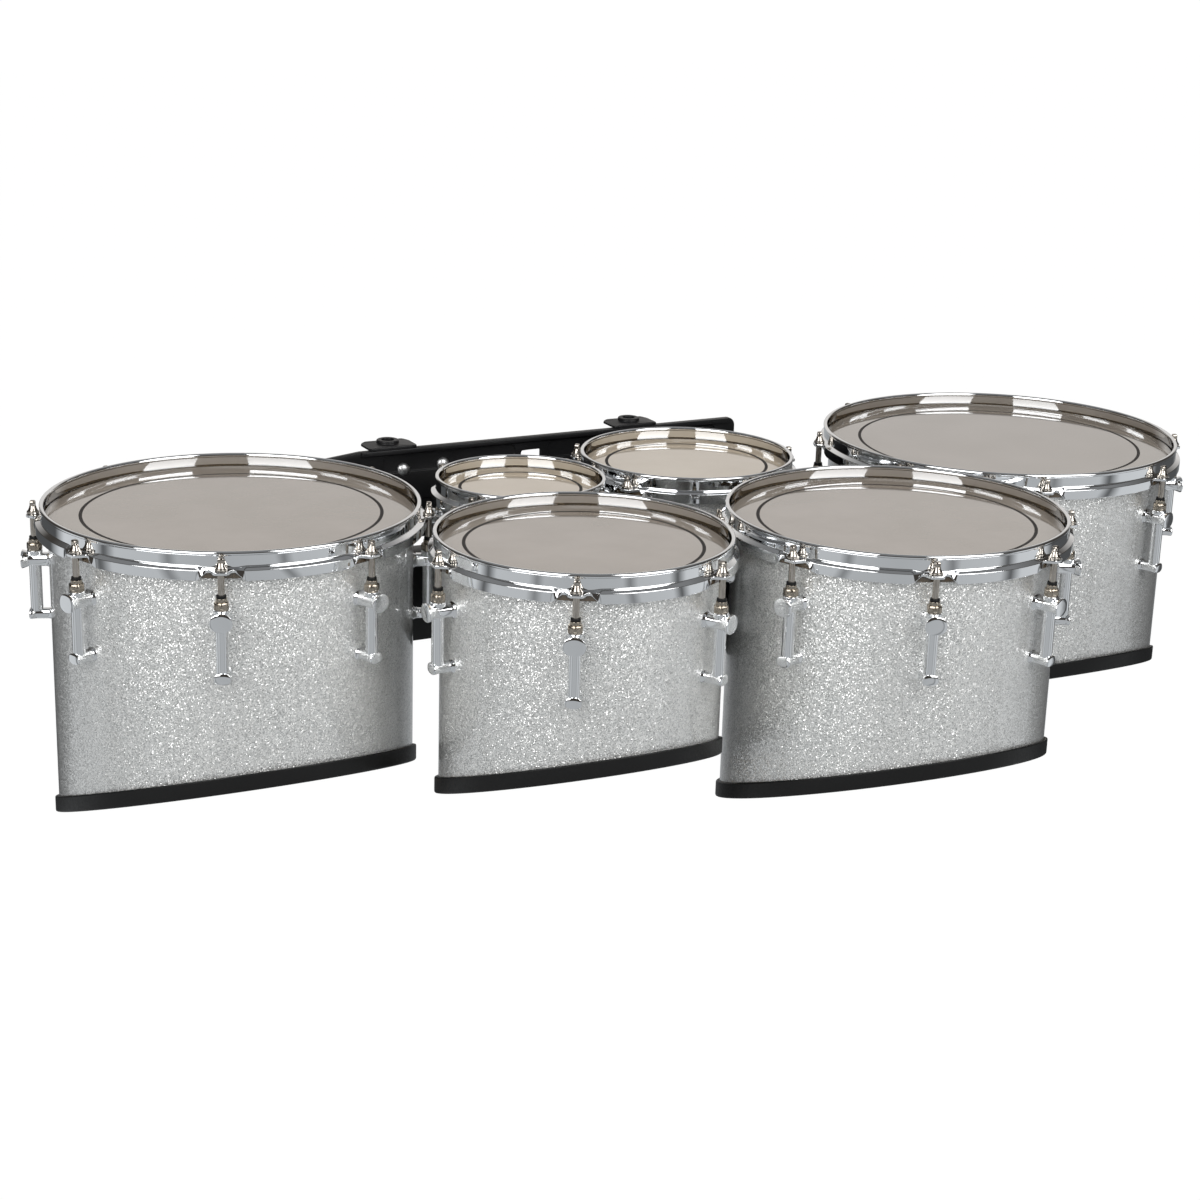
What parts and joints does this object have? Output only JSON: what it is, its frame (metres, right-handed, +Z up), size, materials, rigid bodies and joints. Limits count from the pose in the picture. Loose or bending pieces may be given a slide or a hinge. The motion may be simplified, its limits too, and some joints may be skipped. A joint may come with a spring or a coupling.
{
  "type": "marching tenor drums",
  "caption": "Cluster of tunable single-headed drums with slanted open bottoms, chromed hoops and lugs, carried on a black rail with hook receivers.",
  "frame": {"origin": "middle of the rail plate's flat rear face", "axes": "+Z up, +Y towards the player, -Y towards the audience, +X to the audience's right"},
  "size_m": [1.2081, 0.6485, 0.3509],
  "materials": {
    "shell": "silver glitter under clear gloss lacquer",
    "lug": "polished chrome",
    "edging": "black, rounded",
    "head": "smoky grey film, satin",
    "small_head": "creamy film, satin",
    "hoop": "polished chrome",
    "rod": "nickel plated",
    "rail": "satin black"
  },
  "bodies": {
    "drum_set": {"shell_6": "shell", "edge_trim_6": "edging", "head_6": "small_head", "hoop_6": "hoop", "shell_8": "shell", "edge_trim_8": "edging", "head_8": "small_head", "hoop_8": "hoop", "shell_10": "shell", "edge_trim_10": "edging", "head_10": "head", "hoop_10": "hoop", "shell_12": "shell", "edge_trim_12": "edging", "head_12": "head", "hoop_12": "hoop", "shell_13": "shell", "edge_trim_13": "edging", "head_13": "head", "hoop_13": "hoop", "shell_14": "shell", "edge_trim_14": "edging", "head_14": "head", "hoop_14": "hoop", "rail_plate": "rail", "lower_frame": "rail", "bracket_6": "rail", "bracket_8": "rail", "receiver_left": "rail", "receiver_right": "rail"},
    "tension_rod_10_1": {"rod_10_1": "rod"},
    "tension_rod_10_2": {"rod_10_2": "rod"},
    "tension_rod_10_3": {"rod_10_3": "rod"},
    "tension_rod_10_4": {"rod_10_4": "rod"},
    "tension_rod_10_5": {"rod_10_5": "rod"},
    "tension_rod_10_6": {"rod_10_6": "rod"},
    "tension_rod_12_1": {"rod_12_1": "rod"},
    "tension_rod_12_2": {"rod_12_2": "rod"},
    "tension_rod_12_3": {"rod_12_3": "rod"},
    "tension_rod_12_4": {"rod_12_4": "rod"},
    "tension_rod_12_5": {"rod_12_5": "rod"},
    "tension_rod_12_6": {"rod_12_6": "rod"},
    "tension_rod_12_7": {"rod_12_7": "rod"},
    "tension_rod_12_8": {"rod_12_8": "rod"},
    "tension_rod_13_1": {"rod_13_1": "rod"},
    "tension_rod_13_2": {"rod_13_2": "rod"},
    "tension_rod_13_3": {"rod_13_3": "rod"},
    "tension_rod_13_4": {"rod_13_4": "rod"},
    "tension_rod_13_5": {"rod_13_5": "rod"},
    "tension_rod_13_6": {"rod_13_6": "rod"},
    "tension_rod_13_7": {"rod_13_7": "rod"},
    "tension_rod_13_8": {"rod_13_8": "rod"},
    "tension_rod_14_1": {"rod_14_1": "rod"},
    "tension_rod_14_2": {"rod_14_2": "rod"},
    "tension_rod_14_3": {"rod_14_3": "rod"},
    "tension_rod_14_4": {"rod_14_4": "rod"},
    "tension_rod_14_5": {"rod_14_5": "rod"},
    "tension_rod_14_6": {"rod_14_6": "rod"},
    "tension_rod_14_7": {"rod_14_7": "rod"},
    "tension_rod_14_8": {"rod_14_8": "rod"}
  },
  "joints": [
    {"name": "turn_rod_10_1", "type": "hinge", "parent": "drum_set", "child": "tension_rod_10_1", "pos_m": [-0.09707, -0.2942, 0.05], "axis": [0, 0, 1], "continuous": true},
    {"name": "turn_rod_10_2", "type": "hinge", "parent": "drum_set", "child": "tension_rod_10_2", "pos_m": [-0.23807, -0.2943, 0.05], "axis": [0, 0, 1], "continuous": true},
    {"name": "turn_rod_10_3", "type": "hinge", "parent": "drum_set", "child": "tension_rod_10_3", "pos_m": [-0.30848, -0.41646, 0.05], "axis": [0, 0, 1], "continuous": true},
    {"name": "turn_rod_10_4", "type": "hinge", "parent": "drum_set", "child": "tension_rod_10_4", "pos_m": [-0.23789, -0.53852, 0.05], "axis": [0, 0, 1], "continuous": true},
    {"name": "turn_rod_10_5", "type": "hinge", "parent": "drum_set", "child": "tension_rod_10_5", "pos_m": [-0.09689, -0.53842, 0.05], "axis": [0, 0, 1], "continuous": true},
    {"name": "turn_rod_10_6", "type": "hinge", "parent": "drum_set", "child": "tension_rod_10_6", "pos_m": [-0.02648, -0.41626, 0.05], "axis": [0, 0, 1], "continuous": true},
    {"name": "turn_rod_12_1", "type": "hinge", "parent": "drum_set", "child": "tension_rod_12_1", "pos_m": [0.29246, -0.39253, 0.05], "axis": [0, 0, 1], "continuous": true},
    {"name": "turn_rod_12_2", "type": "hinge", "parent": "drum_set", "child": "tension_rod_12_2", "pos_m": [0.20229, -0.30259, 0.05], "axis": [0, 0, 1], "continuous": true},
    {"name": "turn_rod_12_3", "type": "hinge", "parent": "drum_set", "child": "tension_rod_12_3", "pos_m": [0.07493, -0.30276, 0.05], "axis": [0, 0, 1], "continuous": true},
    {"name": "turn_rod_12_4", "type": "hinge", "parent": "drum_set", "child": "tension_rod_12_4", "pos_m": [-0.01501, -0.39293, 0.05], "axis": [0, 0, 1], "continuous": true},
    {"name": "turn_rod_12_5", "type": "hinge", "parent": "drum_set", "child": "tension_rod_12_5", "pos_m": [-0.01484, -0.52029, 0.05], "axis": [0, 0, 1], "continuous": true},
    {"name": "turn_rod_12_6", "type": "hinge", "parent": "drum_set", "child": "tension_rod_12_6", "pos_m": [0.07533, -0.61023, 0.05], "axis": [0, 0, 1], "continuous": true},
    {"name": "turn_rod_12_7", "type": "hinge", "parent": "drum_set", "child": "tension_rod_12_7", "pos_m": [0.20269, -0.61006, 0.05], "axis": [0, 0, 1], "continuous": true},
    {"name": "turn_rod_12_8", "type": "hinge", "parent": "drum_set", "child": "tension_rod_12_8", "pos_m": [0.29263, -0.51989, 0.05], "axis": [0, 0, 1], "continuous": true},
    {"name": "turn_rod_13_1", "type": "hinge", "parent": "drum_set", "child": "tension_rod_13_1", "pos_m": [-0.25263, -0.27007, 0.05], "axis": [0, 0, 1], "continuous": true},
    {"name": "turn_rod_13_2", "type": "hinge", "parent": "drum_set", "child": "tension_rod_13_2", "pos_m": [-0.2526, -0.13299, 0.05], "axis": [0, 0, 1], "continuous": true},
    {"name": "turn_rod_13_3", "type": "hinge", "parent": "drum_set", "child": "tension_rod_13_3", "pos_m": [-0.34951, -0.03605, 0.05], "axis": [0, 0, 1], "continuous": true},
    {"name": "turn_rod_13_4", "type": "hinge", "parent": "drum_set", "child": "tension_rod_13_4", "pos_m": [-0.48659, -0.03602, 0.05], "axis": [0, 0, 1], "continuous": true},
    {"name": "turn_rod_13_5", "type": "hinge", "parent": "drum_set", "child": "tension_rod_13_5", "pos_m": [-0.58353, -0.13293, 0.05], "axis": [0, 0, 1], "continuous": true},
    {"name": "turn_rod_13_6", "type": "hinge", "parent": "drum_set", "child": "tension_rod_13_6", "pos_m": [-0.58356, -0.27001, 0.05], "axis": [0, 0, 1], "continuous": true},
    {"name": "turn_rod_13_7", "type": "hinge", "parent": "drum_set", "child": "tension_rod_13_7", "pos_m": [-0.48665, -0.36695, 0.05], "axis": [0, 0, 1], "continuous": true},
    {"name": "turn_rod_13_8", "type": "hinge", "parent": "drum_set", "child": "tension_rod_13_8", "pos_m": [-0.34957, -0.36698, 0.05], "axis": [0, 0, 1], "continuous": true},
    {"name": "turn_rod_14_1", "type": "hinge", "parent": "drum_set", "child": "tension_rod_14_1", "pos_m": [0.24116, -0.31307, 0.05], "axis": [0, 0, 1], "continuous": true},
    {"name": "turn_rod_14_2", "type": "hinge", "parent": "drum_set", "child": "tension_rod_14_2", "pos_m": [0.34491, -0.41692, 0.05], "axis": [0, 0, 1], "continuous": true},
    {"name": "turn_rod_14_3", "type": "hinge", "parent": "drum_set", "child": "tension_rod_14_3", "pos_m": [0.49171, -0.41698, 0.05], "axis": [0, 0, 1], "continuous": true},
    {"name": "turn_rod_14_4", "type": "hinge", "parent": "drum_set", "child": "tension_rod_14_4", "pos_m": [0.59556, -0.31323, 0.05], "axis": [0, 0, 1], "continuous": true},
    {"name": "turn_rod_14_5", "type": "hinge", "parent": "drum_set", "child": "tension_rod_14_5", "pos_m": [0.59562, -0.16643, 0.05], "axis": [0, 0, 1], "continuous": true},
    {"name": "turn_rod_14_6", "type": "hinge", "parent": "drum_set", "child": "tension_rod_14_6", "pos_m": [0.49187, -0.06258, 0.05], "axis": [0, 0, 1], "continuous": true},
    {"name": "turn_rod_14_7", "type": "hinge", "parent": "drum_set", "child": "tension_rod_14_7", "pos_m": [0.34507, -0.06252, 0.05], "axis": [0, 0, 1], "continuous": true},
    {"name": "turn_rod_14_8", "type": "hinge", "parent": "drum_set", "child": "tension_rod_14_8", "pos_m": [0.24122, -0.16627, 0.05], "axis": [0, 0, 1], "continuous": true}
  ]
}
